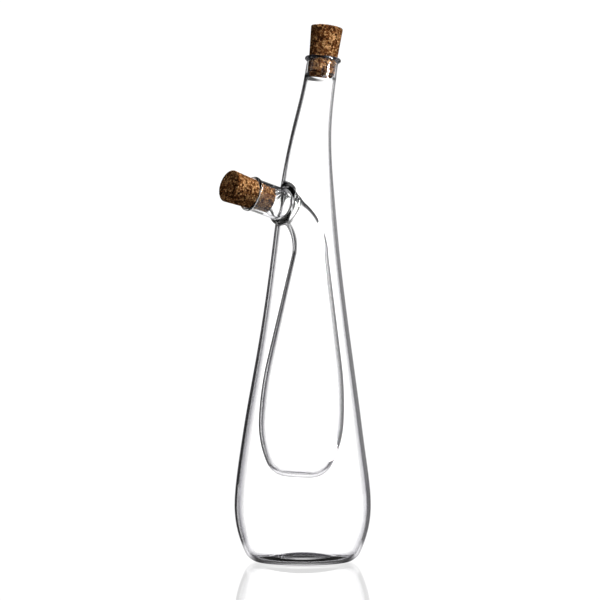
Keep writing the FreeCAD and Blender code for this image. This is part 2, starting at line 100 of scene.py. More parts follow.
# Corks and the mouths that hold them
NECK_BEAD = 1.25
SPOUT_BEAD = 0.95
RIM_RAISE = 0.5  # beads from the mouth up to the middle of the rim's bead
RIM_TRIM = 0.2  # beads by which the rim's bead is ground off at the seat
RIM_SWELL = 0.05  # beads by which the glass is wider just below it
BEAD_TURNS = (-48.0, 143.0)  # degrees round the bead, from the outside over to the seat
CORK_LENGTH = 27.0
CORK_HEAD = 9.05
CORK_TIP = 7.4
CORK_EDGE = 0.5
CORK_CLEARANCE = 0.05
TOP_CORK_TILT = 9.0
TOP_CORK_DEPTH = 9.6
SIDE_CORK_DEPTH = 12.2
RIM_START = 2.2  # beads below the mouth at which the plain side ends
SEAT_OVERRUN = 1.0  # how far a seat runs on past the cork's tip
SEAT_SLACK = 0.02  # for the flat facets of the round surfaces
NECK_EASE = 2.6  # length over which the neck's seat turns into its bore
BORE_END = 0.6  # where the spout's bore gives way to the bend, out from the bend's end
BORE_EASE = 1.6  # the spout's seat has its bore's width at 1 / BORE_EASE of the way there

# The weld: points on the ring's half section, as radius and distance out from the wall.
# The flare inside and the skirt outside run to the opening's edge, and they head there
# for a loop that is FLARE_SPREAD or SKIRT_SPREAD times as large.
WELD_RING = (
    (11.05, -1.1),
    (11.3, -0.3),
    (11.3, 0.5),
    (10.95, 1.25),
    (10.3, 1.75),
    (9.65, 2.2),
    (9.2, 3.0),
    (9.0, 4.2),
)
WELD_SHARE = 0.88  # of the bend, where the tube starts to flare into the wall
FLARE_SPREAD = 1.08
FLARE_PULL = 0.4  # how firmly the flare heads that way
SKIRT_SPREAD = 0.92

# Fineness of the meshes
ROUND_OUTER = 176
ROUND_TUBE = 112
ROUND_CORK = 220
SIDE_STEP = 2.4
SPOUT_STEP = 1.6
BEND_STEPS = 34
FLARE_STEPS = 12
SKIRT_STEPS = 7
COLLAR_STEPS = 22
NECK_SEAT_STEPS = 12
SPOUT_SEAT_STEPS = 14
JOIN_STEPS = 10
BORE_STEPS = 7
CORK_TIP_STEPS = 16
CORK_SIDE_STEPS = 110
CORK_HEAD_STEPS = 40

# Pits in the corks' surface, where noise is above PIT_START, and gaps between granules
PIT_SHIFT = Vector((7.3, 3.1, 5.7))
GRANULES_PER_MM = 0.62
GAP_DEPTH = 0.2
GAP_WIDTH = 0.16
PITS_PER_MM = 0.45
PIT_DEPTH = 0.45
PIT_START = 0.42
PIT_RUN = 0.2

# Camera of the photograph, with its distance and height in metres
AZIMUTH = -37.0
DISTANCE = 1.5
EYE_HEIGHT = 0.1464
LENS = 160.6
SENSOR = 36.0  # millimetres, like the lens
PICTURE = 600.0  # pixels on a side
AXIS_PIXEL = 302.7  # where the foot's axis stands across the picture


def smooth_through(knots, values):
    """A cubic spline through a table, level at its start, as a function."""
    knots = np.asarray(knots, float)
    values = np.asarray(values, float)
    gaps = np.diff(knots)
    slopes = np.diff(values) / gaps
    size = len(knots)
    system = np.eye(size)
    right = np.zeros(size)
    system[0, 0] = 2 * gaps[0]
    system[0, 1] = gaps[0]
    right[0] = 6 * slopes[0]
    for i in range(1, size - 1):
        system[i, i - 1] = gaps[i - 1]
        system[i, i] = 2 * (gaps[i - 1] + gaps[i])
        system[i, i + 1] = gaps[i]
        right[i] = 6 * (slopes[i] - slopes[i - 1])
    bends = np.linalg.solve(system, right)

    def value(at):
        i = int(np.clip(np.searchsorted(knots, at) - 1, 0, size - 2))
        gap = gaps[i]
        low = (knots[i + 1] - at) / gap
        high = (at - knots[i]) / gap
        curve = (low**3 - low) * bends[i] + (high**3 - high) * bends[i + 1]
        return low * values[i] + high * values[i + 1] + curve * gap**2 / 6

    return value


def ease(share):
    """0 to 1 with a level start and end."""
    share = min(max(share, 0.0), 1.0)
    return share * share * (3 - 2 * share)


def mix(a, b, share):
    return a + (b - a) * share


RING_HEIGHTS = [mix(BELLY_HEIGHT, BOTTLE_HEIGHT, ring[0]) for ring in OUTER_RINGS]
RING_RADII = [mix(BELLY_RADIUS, MOUTH_RADIUS, ring[1]) for ring in OUTER_RINGS]
ring_radius = smooth_through(RING_HEIGHTS, RING_RADII)
ring_offset, ring_tilt, ring_wall = (
    smooth_through(RING_HEIGHTS, [ring[column] for ring in OUTER_RINGS]) for column in (2, 3, 4)
)

RISE = math.radians(SPOUT_RISE)
LEAN = math.radians(INNER_TILT)
OUT = np.array([-math.cos(RISE), 0.0, math.sin(RISE)])
UP = np.array([math.sin(RISE), 0.0, math.cos(RISE)])
SIDEWAYS = np.array([0.0, 1.0, 0.0])
SPOUT_HEIGHT = RING_HEIGHTS[SPOUT_LEVEL]
WALL_RUN = (RING_RADII[SPOUT_LEVEL] - OUTER_RINGS[SPOUT_LEVEL][2] + CORNER_OFFSET) / math.cos(RISE)
CORNER = np.array([CORNER_OFFSET, 0.0, SPOUT_HEIGHT - WALL_RUN * math.sin(RISE)])
WALL_POINT = CORNER + WALL_RUN * OUT
BEND_TURN = math.pi / 2 - RISE + LEAN
BEND_REACH = BEND_RADIUS * math.tan(BEND_TURN / 2)


def circle(centre, across, radius, count):
    """Points round a centre, from the direction across towards SIDEWAYS."""
    turns = np.arange(count) * 2 * math.pi / count
    return centre + radius * (np.cos(turns)[:, None] * across + np.sin(turns)[:, None] * SIDEWAYS)


def tilted(tilt):
    """The across direction of a ring that is turned about Y."""
    return np.array([math.cos(math.radians(tilt)), 0.0, -math.sin(math.radians(tilt))])


def along(tilt):
    """The axis direction of such a ring."""
    return np.array([math.sin(math.radians(tilt)), 0.0, math.cos(math.radians(tilt))])


def arc(centre, radius, start, end, count):
    """Points of an arc in a half section, as (radius, height)."""
    turns = np.radians(np.linspace(start, end, count))
    return [(centre[0] + radius * math.cos(a), centre[1] + radius * math.sin(a)) for a in turns]


def eased_corner(before, corner, after, count=7):
    """A small round in place of a corner of a half section."""
    points = []
    for share in np.linspace(0, 1, count):
        first = np.array(before) * (1 - share) ** 2
        middle = np.array(corner) * 2 * share * (1 - share)
        points.append(tuple(first + middle + np.array(after) * share**2))
    return points


def bowl(foot, corner, belly, top, inset, low, count):
    """Corner and side arcs of a bottle's bottom, from angle low up to the belly."""
    step = belly - foot
    side = (step**2 + top**2 - 2 * top * corner) / (2 * (step - corner))
    meet = math.degrees(math.atan2(corner - top, foot - belly + side))
    turn = arc((foot, corner), corner - inset, low, meet, count)
    return turn[:-1] + arc((belly - side, top), side - inset, meet, 0.0, count)


def outer_outside():
    """Half section under the foot and up to the belly."""
    dome = (PUNT_RADIUS**2 + PUNT_DEPTH**2) / (2 * PUNT_DEPTH)
    edge = math.degrees(math.asin((dome - PUNT_DEPTH) / dome))
    under = arc((0, PUNT_DEPTH - dome), dome, 90.0, edge + PUNT_EDGE_TURN, count=12)
    ring = eased_corner(under[-1], (PUNT_RADIUS, 0.0), (PUNT_RADIUS + PUNT_EDGE, 0.0))
    foot = [(FOOT_RADIUS - FOOT_EDGE, 0.0)]
    return under + ring[1:] + foot + bowl(
        FOOT_RADIUS, CORNER_RADIUS, BELLY_RADIUS, BELLY_HEIGHT, inset=0.0, low=-90.0, count=20
    )


def outer_inside():
    """Half section of the chamber's floor and up to the belly."""
    height = PUNT_DEPTH + FLOOR_THICKNESS
    inner = CORNER_RADIUS - OUTER_WALL
    drop = CORNER_RADIUS - height
    crown = (FOOT_RADIUS**2 + drop**2 - inner**2) / (2 * (inner - drop))
    low = math.degrees(math.atan2(-(crown + drop), -FOOT_RADIUS))
    floor = arc((0, height - crown), crown, 90.0, low + 180.0, count=16)
    return floor[:-1] + bowl(
        FOOT_RADIUS, CORNER_RADIUS, BELLY_RADIUS, BELLY_HEIGHT, inset=OUTER_WALL, low=low, count=20
    )


def inner_section(inset):
    """Half section of the inner bottle from its bottom up to the bend."""
    belly = INNER_BELLY - inset
    top = INNER_DEPTH - BEND_REACH
    meet = math.atan2(INNER_BELLY - STEM_RADIUS, top - INNER_BELLY_HEIGHT - SHOULDER_HEIGHT)
    curve = SHOULDER_HEIGHT / math.tan(meet / 2) - inset
    points = [(radius, inset) for radius in INNER_FLOOR_RADII]
    points += bowl(
        INNER_FOOT, INNER_CORNER, INNER_BELLY, INNER_BELLY_HEIGHT, inset, low=-90.0, count=14
    )
    points += arc((belly - curve, INNER_BELLY_HEIGHT), curve, 0.0, math.degrees(meet), count=12)[1:]
    last = np.array(points[-1])
    end = np.array((STEM_RADIUS - inset, top))
    count = int(np.hypot(*(end - last)) / SIDE_STEP)
    points += [tuple(mix(last, end, step / count)) for step in range(1, count + 1)]
    return points


def on_inner_axis(drop):
    """A point on the inner bottle's axis, a distance below the corner of the bent axis."""
    return CORNER - drop * along(INNER_TILT)


def bend_ring(share, inset, shift=0.0):
    """One ring of the bend: its centre, across direction and radius."""
    turn = BEND_TURN * share - LEAN
    start = on_inner_axis(BEND_REACH)
    middle = start - BEND_RADIUS * tilted(INNER_TILT)
    across = np.array([math.cos(turn), 0.0, math.sin(turn)])
    if share < THROAT_SHARE:
        radius = mix(STEM_RADIUS, THROAT_RADIUS, share / THROAT_SHARE)
    else:
        radius = mix(THROAT_RADIUS, SPOUT_RADIUS, ease((share - THROAT_SHARE) / (1 - THROAT_SHARE)))
    centre = middle + (BEND_RADIUS + shift * math.sin(math.pi * share)) * across
    return centre, across, radius - inset


def outer_point(turn, height, inset):
    """A point of the bottle's side, on its outside or, with inset 1, its inside."""
    tilt = ring_tilt(height)
    radius = ring_radius(height) - inset * ring_wall(height)
    centre = np.array([ring_offset(height), 0.0, height])
    return centre + radius * (math.cos(turn) * tilted(tilt) + math.sin(turn) * SIDEWAYS)


class RingMesh:
    """Collects rings of points and the faces between them, and welds them at the end."""

    def __init__(self):
        self.points = []
        self.faces = []

    def ring(self, points):
        """Adds points and gives their numbers."""
        first = len(self.points)
        self.points.extend(np.asarray(points))
        return list(range(first, len(self.points)))

    def bridge(self, low, high, skip=()):
        """Faces between two rings, but for the columns that are skipped."""
        count = len(low)
        for i in range(count):
            if i in skip:
                continue
            j = (i + 1) % count
            self.faces.append((low[i], low[j], high[j], high[i]))

    def tube(self, rings):
        for low, high in zip(rings, rings[1:]):
            self.bridge(low, high)

    def finish(self, name):
        mesh = bpy.data.meshes.new(name)
        mesh.from_pydata([tuple(p * MM) for p in self.points], [], self.faces)
        work = bmesh.new()
        work.from_mesh(mesh)
        bmesh.ops.remove_doubles(work, verts=work.verts, dist=1e-6)
        bmesh.ops.dissolve_degenerate(work, edges=work.edges, dist=1e-7)
        bmesh.ops.recalc_face_normals(work, faces=work.faces)
        for face in work.faces:
            face.smooth = True
        work.to_mesh(mesh)
        work.free()
        piece = bpy.data.objects.new(name, mesh)
        bpy.context.collection.objects.link(piece)
        return piece


# The opening in the outer wall where the spout leaves, outside and inside: half its
# width and height on the wall. The wall's mesh is made anew from HOLE_MARGIN below it to
# HOLE_MARGIN above, and keeps only the points outside an edge HOLE_SPREAD times as large.
HOLE_HALF_WIDTH = (12.0, 9.7)
HOLE_HALF_HEIGHT = (12.6, 10.1)
HOLE_MARGIN = 1.0
HOLE_SPREAD = 1.03


def hole_loop(inset, scale=1.0):
    """The opening's edge on the wall, as a turn and a height for each column of the tube."""
    loop = []
    for step in range(ROUND_TUBE):
        turn = step * 2 * math.pi / ROUND_TUBE
        height = WALL_POINT[2] - inset * OUTER_WALL * math.tan(RISE)
        height += scale * HOLE_HALF_HEIGHT[inset] * math.cos(turn)
        half = scale * HOLE_HALF_WIDTH[inset] * math.sin(turn)
        radius = ring_radius(SPOUT_HEIGHT) - inset * OUTER_WALL
        loop.append((math.pi - math.asin(half / radius), height))
    return loop


def inside_loop(point, loop):
    """Whether a flat point lies inside a closed flat loop."""
    x, y = point
    inside = False
    for (x1, y1), (x2, y2) in zip(loop, loop[1:] + loop[:1]):
        if (y1 > y) != (y2 > y) and x < x1 + (y - y1) * (x2 - x1) / (y2 - y1):
            inside = not inside
    return inside


def wall_with_hole(glass, heights, inset):
    """The bottle's side from the belly up to the neck, open where the spout leaves."""
    turns = [step * 2 * math.pi / ROUND_OUTER for step in range(ROUND_OUTER)]
    rows = [glass.ring([outer_point(turn, height, inset) for turn in turns]) for height in heights]
    loop = hole_loop(inset)
    flat_scale = ring_radius(SPOUT_HEIGHT)
    bottom = min(height for _, height in loop) - HOLE_MARGIN
    top = max(height for _, height in loop) + HOLE_MARGIN
    low_row = max(row for row, height in enumerate(heights) if height < bottom)
    high_row = min(row for row, height in enumerate(heights) if height > top)
    margin = 2 * math.pi / ROUND_OUTER
    left = min(turn for turn, _ in loop) - margin
    right = max(turn for turn, _ in loop) + margin
    first = max(column for column, turn in enumerate(turns) if turn < left)
    last = min(column for column, turn in enumerate(turns) if turn > right)
    for row in range(len(rows) - 1):
        skip = range(first, last) if low_row <= row < high_row else ()
        glass.bridge(rows[row], rows[row + 1], skip)

    edge = [(turn * flat_scale, height) for turn, height in loop]
    middle = np.mean(edge, axis=0)
    wide = [tuple(middle + (np.array(p) - middle) * HOLE_SPREAD) for p in edge]
    flat = list(edge)
    index = glass.ring([outer_point(turn, height, inset) for turn, height in loop])
    hole = list(index)
    for row in range(low_row, high_row + 1):
        for column in range(first, last + 1):
            point = (turns[column] * flat_scale, heights[row])
            if not inside_loop(point, wide):
                flat.append(point)
                index.append(rows[row][column])
    edges = [(i, (i + 1) % len(edge)) for i in range(len(edge))]
    made = geometry.delaunay_2d_cdt([Vector(p) for p in flat], edges, [], 0, 1e-6)
    places, _, triangles, origins = made[:4]
    for triangle in triangles:
        centre = sum((places[i] for i in triangle), Vector((0, 0))) / 3
        if inside_loop(centre, edge):
            continue
        glass.faces.append(tuple(index[origins[i][0]] for i in triangle))
    return rows, hole


def hermite(start, start_pull, end, end_pull, count):
    """Rows of points between two rows, with the pulls as their tangents."""
    rows = []
    for share in np.linspace(0, 1, count + 2)[1:-1]:
        h00 = 2 * share**3 - 3 * share**2 + 1
        h10 = share**3 - 2 * share**2 + share
        h01 = 1 - h00
        h11 = share**3 - share**2
        rows.append(h00 * start + h10 * start_pull + h01 * end + h11 * end_pull)
    return rows


def lengths(rows):
    """The length of each vector, as a column."""
    return np.linalg.norm(rows, axis=1)[:, None]


def pull(directions, reach):
    """Vectors of given lengths along some directions."""
    return directions / lengths(directions) * reach


def spout_frame(radius, distance):
    """A ring round the spout's axis, a distance out from the wall."""
    return circle(WALL_POINT + distance * OUT, UP, radius, ROUND_TUBE)


def rim_section(outside, seat, bead):
    """Half section of a fire-rounded rim: up the outside, over the bead and down to the seat."""
    middle = (seat + (1 - RIM_TRIM) * bead, RIM_RAISE * bead)
    below = [(outside, -bead), (outside + RIM_SWELL * bead, -0.75 * bead)]
    return below + arc(middle, bead, *BEAD_TURNS, count=20)


def cork_radius(distance):
    """Radius of a cork at a distance from its tip."""
    return CORK_TIP + (CORK_HEAD - CORK_TIP) * distance / CORK_LENGTH


def seat_radius(distance):
    """Radius of the glass round a cork at a distance from the cork's tip."""
    return max(cork_radius(distance), CORK_TIP) + CORK_CLEARANCE + SEAT_SLACK


def cork_tip(bead, depth):
    """Height of a cork's tip over the mouth, which is below zero."""
    return (1 + RIM_RAISE) * bead - depth


def clear_of_cork(row, mouth, axis, tip):
    """Moves the points of a ring that are in a cork's way out to its clearance."""
    distance = (row - mouth) @ axis
    on_axis = mouth + np.outer(distance, axis)
    radius = lengths(row - on_axis)
    least = cork_radius(distance - tip)[:, None] + CORK_CLEARANCE
    return on_axis + (row - on_axis) * np.maximum(least / radius, 1.0)


MOUTH = np.array([OUTER_RINGS[-1][2], 0.0, BOTTLE_HEIGHT])
MOUTH_TILT = OUTER_RINGS[-1][3]
TOP_AXIS = along(TOP_CORK_TILT)
TOP_TIP = cork_tip(NECK_BEAD, TOP_CORK_DEPTH)
SIDE_TIP = cork_tip(SPOUT_BEAD, SIDE_CORK_DEPTH)


def neck_rim():
    """Rows over the neck's rim; they follow the mouth's tilt and keep clear of the cork."""
    middle = MOUTH + RIM_RAISE * NECK_BEAD * (TOP_AXIS - along(MOUTH_TILT))
    seat = cork_radius(TOP_CORK_DEPTH - NECK_BEAD) + CORK_CLEARANCE
    rows = []
    for radius, height in rim_section(MOUTH_RADIUS, seat, NECK_BEAD):
        centre = middle + height * along(MOUTH_TILT)
        row = circle(centre, tilted(MOUTH_TILT), radius, ROUND_OUTER)
        rows.append(clear_of_cork(row, MOUTH, TOP_AXIS, TOP_TIP))
    return rows


def neck_seat():
    """Rows down the inside of the neck where it follows the cork."""
    rows = []
    for distance in np.linspace(0.0, TOP_TIP - SEAT_OVERRUN, NECK_SEAT_STEPS):
        centre = MOUTH + distance * TOP_AXIS
        radius = seat_radius(distance - TOP_TIP)
        rows.append(circle(centre, tilted(TOP_CORK_TILT), radius, ROUND_OUTER))
    return rows


def neck_join(low):
    """Rows from the seat's end, where its middle is low, to the neck's bore."""
    aside = low[0] - ring_offset(low[2])
    tighter = seat_radius(0.0) - (ring_radius(low[2]) - ring_wall(low[2]))
    leaning = TOP_CORK_TILT - ring_tilt(low[2])
    rows = []
    for step in range(1, JOIN_STEPS):
        share = 1 - ease(step / JOIN_STEPS)
        height = low[2] - NECK_EASE * step / JOIN_STEPS
        centre = np.array([ring_offset(height) + aside * share, 0.0, height])
        radius = ring_radius(height) - ring_wall(height) + tighter * share
        tilt = ring_tilt(height) + leaning * share
        rows.append(circle(centre, tilted(tilt), radius, ROUND_OUTER))
    return rows


def side_heights(top):
    """Heights of the rows of the bottle's side."""
    return list(np.linspace(BELLY_HEIGHT, top, int((top - BELLY_HEIGHT) / SIDE_STEP)))


def upright_rows(section):
    """Rows round Z from a half section."""
    rows = []
    for radius, height in section:
        rows.append(circle(np.array([0.0, 0.0, height]), tilted(0.0), radius, ROUND_OUTER))
    return rows


def outer_bottle(glass):
    """From under the foot up the outside, over the rim and down the inside to the floor.

    Gives the edges of the opening for the spout, outside and inside.
    """
    bottom = [glass.ring(row) for row in upright_rows(outer_outside())]
    top = BOTTLE_HEIGHT - RIM_START * NECK_BEAD
    outside, outer_hole = wall_with_hole(glass, side_heights(top), 0)
    glass.tube(bottom + outside[:1])

    low = MOUTH + (TOP_TIP - SEAT_OVERRUN) * TOP_AXIS
    neck = [glass.ring(row) for row in neck_rim() + neck_seat() + neck_join(low)]
    inside, inner_hole = wall_with_hole(glass, side_heights(low[2] - NECK_EASE), 1)
    glass.tube(outside[-1:] + neck + inside[-1:])

    floor = [glass.ring(row) for row in upright_rows(outer_inside())]
    glass.tube(floor + inside[:1])
    return outer_hole, inner_hole


def inner_rows(inset):
    """Rows of the inner bottle from its bottom up to the bend."""
    rows = []
    for radius, height in inner_section(inset):
        centre = on_inner_axis(INNER_DEPTH - height)
        rows.append(circle(centre, tilted(INNER_TILT), radius, ROUND_TUBE))
    return rows


def bend_rows(last_share, wall_at_start=0.0, wall_at_end=0.0, shift=0.0):
    """Rows of the bend up to a share of its length, set in by the wall."""
    rows = []
    for step in range(1, int(BEND_STEPS * last_share) + 1):
        share = step / BEND_STEPS
        centre, across, radius = bend_ring(share, mix(wall_at_start, wall_at_end, share), shift)
        rows.append(circle(centre, across, radius, ROUND_TUBE))
    return rows


def wall_loop(inset, scale=1.0):
    """Points of the opening's edge, or of a loop round it, on the bottle's wall."""
    return np.array([outer_point(turn, height, inset) for turn, height in hole_loop(inset, scale)])


def inner_outside(glass, inner_hole):
    """The inner bottle's outside, its bend, and the flare by which it joins the wall."""
    shell = inner_rows(0.0) + bend_rows(WELD_SHARE)
    start = shell[-1]
    edge = wall_loop(1)
    reach = lengths(edge - start)
    leaving = pull(start - shell[-2], reach)
    arriving = pull(wall_loop(1, FLARE_SPREAD) - edge, reach * FLARE_PULL)
    flare = hermite(start, leaving, edge, arriving, FLARE_STEPS)
    glass.tube([glass.ring(row) for row in shell + flare] + [inner_hole])


def weld_collar():
    """Rows over the ring of the weld, on the spout's outside."""
    steps = np.arange(len(WELD_RING))
    radius = smooth_through(steps, [place[0] for place in WELD_RING])
    distance = smooth_through(steps, [place[1] for place in WELD_RING])
    places = np.linspace(0, steps[-1], COLLAR_STEPS)
    return [spout_frame(radius(at), distance(at)) for at in places]


def spout_and_inside(glass, outer_hole):
    """From the opening over the weld and the spout, and inside to the inner bottle's floor."""
    collar = weld_collar()
    edge = wall_loop(0)
    reach = lengths(collar[0] - edge)
    leaving = pull(wall_loop(0, SKIRT_SPREAD) - edge, reach)
    arriving = pull(collar[1] - collar[0], reach)
    rows = hermite(edge, leaving, collar[0], arriving, SKIRT_STEPS) + collar

    ring_end = WELD_RING[-1][1]
    rim_start = SPOUT_LENGTH - RIM_START * SPOUT_BEAD
    count = int((rim_start - ring_end) / SPOUT_STEP)
    rows += [spout_frame(SPOUT_RADIUS, at) for at in np.linspace(ring_end, rim_start, count)[1:]]
    seat = cork_radius(SIDE_CORK_DEPTH - SPOUT_BEAD) + CORK_CLEARANCE
    for radius, height in rim_section(SPOUT_RADIUS, seat, SPOUT_BEAD):
        rows.append(spout_frame(radius, SPOUT_LENGTH + height))

    seat_end = SIDE_TIP - SEAT_OVERRUN
    for distance in np.linspace(0.0, seat_end, SPOUT_SEAT_STEPS):
        rows.append(spout_frame(seat_radius(distance - SIDE_TIP), SPOUT_LENGTH + distance))
    bore_end = BEND_REACH - WALL_RUN + BORE_END
    for step in range(1, BORE_STEPS + 1):
        share = step / BORE_STEPS
        radius = mix(seat_radius(0.0), SPOUT_RADIUS - SPOUT_WALL, ease(share * BORE_EASE))
        rows.append(spout_frame(radius, mix(SPOUT_LENGTH + seat_end, bore_end, share)))
    rows += bend_rows(1.0, INNER_WALL, SPOUT_WALL, INNER_CURVE_THICKENING)[::-1]
    rows += inner_rows(INNER_WALL)[::-1]
    glass.tube([outer_hole] + [glass.ring(row) for row in rows])


def make_glass():
    """The whole cruet as one closed mesh, as its glass is fused."""
    glass = RingMesh()
    outer_hole, inner_hole = outer_bottle(glass)
    inner_outside(glass, inner_hole)
    spout_and_inside(glass, outer_hole)
    return glass.finish("fused_glass")


class Graph:
    """A node tree, with short calls for the nodes that the looks are made of."""

    def __init__(self, tree):
        tree.nodes.clear()
        self.nodes = tree.nodes
        self.links = tree.links

    def new(self, kind, inputs=(), **settings):
        """A node, with a value or a socket for each input that is named or numbered."""
        node = self.nodes.new(kind)
        for name, value in settings.items():
            setattr(node, name, value)
        for key, value in dict(inputs).items():
            if isinstance(value, bpy.types.NodeSocket):
                self.links.new(value, node.inputs[key])
            else:
                node.inputs[key].default_value = value
        return node

    def math(self, operation, *values):
        return self.new("ShaderNodeMath", enumerate(values), operation=operation).outputs["Value"]

    def dot(self, vector, direction):
        inputs = {0: vector, 1: direction}
        return self.new("ShaderNodeVectorMath", inputs, operation="DOT_PRODUCT").outputs["Value"]

    def step(self, value, low, high):
        """0 at low and 1 at high, with a soft run between them."""
        inputs = {"Value": value, "From Min": low, "From Max": high}
        node = self.new("ShaderNodeMapRange", inputs, interpolation_type="SMOOTHSTEP")
        return node.outputs["Result"]

    def choose(self, factor, low, high):
        """A number that is low where the factor is 0 and high where it is 1."""
        return self.new("ShaderNodeMix", {"Factor": factor, "A": low, "B": high}).outputs["Result"]

    def multiply_colours(self, first, second):
        inputs = {0: 1.0, 6: first, 7: second}
        return self.new("ShaderNodeMix", inputs, data_type="RGBA", blend_type="MULTIPLY").outputs[2]

    def ramp(self, value, stops):
        """A colour for a value, from stops of a position and a colour."""
        node = self.new("ShaderNodeValToRGB", {"Fac": value})
        elements = node.color_ramp.elements
        for element, (position, colour) in zip(elements, (stops[0], stops[-1])):
            element.position = position
            element.color = (*colour, 1.0)
        for position, colour in stops[1:-1]:
            elements.new(position).color = (*colour, 1.0)
        return node.outputs["Color"]

    def blend(self, factor, first, second):
        """The first shader where the factor is 0 and the second where it is 1."""
        inputs = {"Fac": factor, 1: first, 2: second}
        return self.new("ShaderNodeMixShader", inputs).outputs["Shader"]


def new_material(name):
    material = bpy.data.materials.new(name)
    material.use_nodes = True
    return material, Graph(material.node_tree)


# The glass: painted shade by how edge on it is seen, which darkens its edges, and painted shade on
# the thick rim of the neck, which is as dark from RIM_SHADE_RISE above the mouth as glass seen at
# the facing RIM_SHADE
GLASS_EDGE_SHADE = ((0.48, (1.0, 1.0, 1.0)), (0.7, (0.42, 0.41, 0.45)), (0.8, (0.004, 0.003, 0.006)))
RIM_SHADE = 0.8
RIM_SHADE_RISE = 0.7


def clear_glass():
    """Clear soda glass, with painted shade where it is seen edge on and on the neck's rim."""
    material, graph = new_material("clear_glass_look")
    axis = along(MOUTH_TILT)
    mouth_level = MOUTH @ axis * MM
    level = graph.dot(graph.new("ShaderNodeNewGeometry").outputs["Position"], tuple(axis))
    # painted shade: the neck's rim is coloured dark from the mouth up
    painted_rim_shade = graph.step(level, mouth_level, mouth_level + RIM_SHADE_RISE * MM)
    # painted shade: the glass's colour darkens where it is seen edge on, standing in for its dark
    # edges
    facing = graph.new("ShaderNodeLayerWeight", {"Blend": 0.5}).outputs["Facing"]
    shade = graph.math("MAXIMUM", facing, graph.math("MULTIPLY", painted_rim_shade, RIM_SHADE))
    surface = graph.new(
        "ShaderNodeBsdfPrincipled",
        {
            "Base Color": graph.ramp(shade, GLASS_EDGE_SHADE),
            "Roughness": 0.0,
            "IOR": 1.47,
            "Transmission Weight": 1.0,
            "Specular Tint": (0.3, 0.3, 0.3, 1.0),
        },
    )
    path = graph.new("ShaderNodeLightPath").outputs
    passing = graph.math("MAXIMUM", path["Is Shadow Ray"], path["Is Diffuse Ray"])
    clear = graph.new("ShaderNodeBsdfTransparent").outputs["BSDF"]
    shader = graph.blend(passing, surface.outputs["BSDF"], clear)
    graph.new("ShaderNodeOutputMaterial", {"Surface": shader})
    return material


# Cork: granules and specks per metre, and the granules' tones, the gaps between them and
# the strength of the specks
GRANULE_SCALE = 900.0
SPECK_SCALE = 1900.0
CORK_TONES = ((0.0, (0.030, 0.008, 0.003)), (0.45, (0.27, 0.105, 0.034)), (1.0, (0.72, 0.40, 0.17)))
CORK_GAPS = ((0.0, (0.10, 0.055, 0.035)), (0.12, (1.0, 1.0, 1.0)))
SPECK_RANGE = {"From Min": 0.3, "From Max": 0.7, "To Min": 0.25, "To Max": 1.75}


def cork_material():
    """Agglomerate cork: pale and dark granules pressed together, with dark gaps."""
    material, graph = new_material("cork_look")
    place = graph.new("ShaderNodeTexCoord").outputs["Object"]
    cells = {"Vector": place, "Scale": GRANULE_SCALE}
    granule = graph.new("ShaderNodeTexVoronoi", cells).outputs["Color"]
    tone = graph.new("ShaderNodeSeparateColor", {"Color": granule}).outputs["Red"]
    gap = graph.new("ShaderNodeTexVoronoi", cells, feature="DISTANCE_TO_EDGE").outputs["Distance"]
    specks = {"Vector": place, "Scale": SPECK_SCALE, "Detail": 5.0}
    speck = graph.new("ShaderNodeTexNoise", specks).outputs["Fac"]
    colour = graph.multiply_colours(graph.ramp(tone, CORK_TONES), graph.ramp(gap, CORK_GAPS))
    strength = graph.new("ShaderNodeMapRange", {"Value": speck, **SPECK_RANGE}).outputs["Result"]
    relief = {"Strength": 0.6, "Distance": 0.0002, "Height": speck}
    surface = graph.new(
        "ShaderNodeBsdfPrincipled",
        {
            "Base Color": graph.multiply_colours(colour, strength),
            "Roughness": 0.85,
            "Specular IOR Level": 0.0,
            "Normal": graph.new("ShaderNodeBump", relief).outputs["Normal"],
        },
    )
    graph.new("ShaderNodeOutputMaterial", {"Surface": surface.outputs["BSDF"]})
    return material


def make_cork(name, tip, axis_tilt):
    """A tapered cork with softened edges, wide end out, smooth until pit presses its small pits."""
    axis = along(axis_tilt)
    across = tilted(axis_tilt)
    section = [(radius, 0.0) for radius in np.linspace(0.0, CORK_TIP - CORK_EDGE, CORK_TIP_STEPS)]
    section += arc((CORK_TIP - CORK_EDGE, CORK_EDGE), CORK_EDGE, -90.0, 0.0, count=6)[1:]
    side = np.linspace(CORK_EDGE, CORK_LENGTH - CORK_EDGE, CORK_SIDE_STEPS)
    section += [(cork_radius(distance), distance) for distance in side[1:]]
    flat = CORK_HEAD - CORK_EDGE
    section += arc((flat, CORK_LENGTH - CORK_EDGE), CORK_EDGE, 0.0, 90.0, count=6)[1:]
    section += [(radius, CORK_LENGTH) for radius in np.linspace(flat, 0.0, CORK_HEAD_STEPS)[1:]]
    cork = RingMesh()
    rows = [circle(tip + height * axis, across, radius, ROUND_CORK) for radius, height in section]
    cork.tube([cork.ring(row) for row in rows])
    return cork.finish(name)


def pit(piece, seed):
    """Presses small pits and the gaps between granules into a cork's surface."""
    mesh = piece.data
    shift = PIT_SHIFT * seed
    moved = []
    for vertex in mesh.vertices:
        place = vertex.co / MM
        distances, _ = noise.voronoi(place * GRANULES_PER_MM + shift)
        gap = distances[1] - distances[0]
        depth = GAP_DEPTH * max(0.0, 1.0 - gap / GAP_WIDTH)
        coarse = noise.noise(place * PITS_PER_MM + shift)
        depth += PIT_DEPTH * ease((coarse - PIT_START) / PIT_RUN)
        moved.extend(vertex.co - vertex.normal * depth * MM)
    mesh.vertices.foreach_set("co", moved)
    mesh.update()


